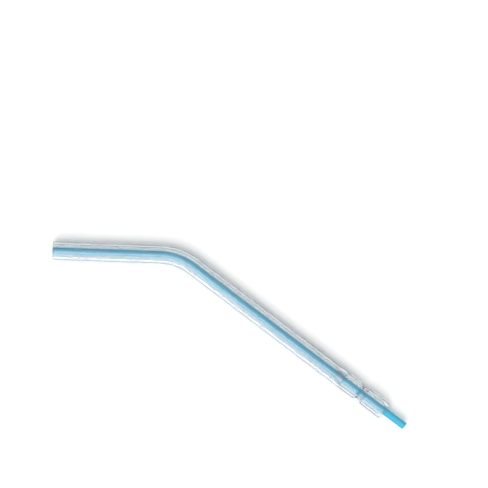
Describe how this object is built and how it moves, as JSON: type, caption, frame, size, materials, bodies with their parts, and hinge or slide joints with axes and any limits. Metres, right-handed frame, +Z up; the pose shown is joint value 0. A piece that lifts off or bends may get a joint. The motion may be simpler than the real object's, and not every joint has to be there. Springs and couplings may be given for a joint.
{
  "type": "air water syringe tip",
  "caption": "Bent clear tube with a blue water tube down its middle and a grooved snap-in base, for a dental air and water syringe.",
  "frame": {"origin": "on the tube's axis at the connector's rear face, where the shank enters the syringe", "axes": "+X along the long leg towards the bend, the bent leg turns towards +Y, +Z up with the tip lying flat on its side"},
  "size_m": [0.0845, 0.0192, 0.004],
  "materials": {
    "clear_tube": "clear and glossy",
    "blue_core": "glossy, slightly translucent blue",
    "clear_base": "clear and glossy, moulded"
  },
  "bodies": {
    "root": {"outer_tube": "clear_tube", "water_tube": "blue_core", "connector": "clear_base"}
  },
  "joints": []
}
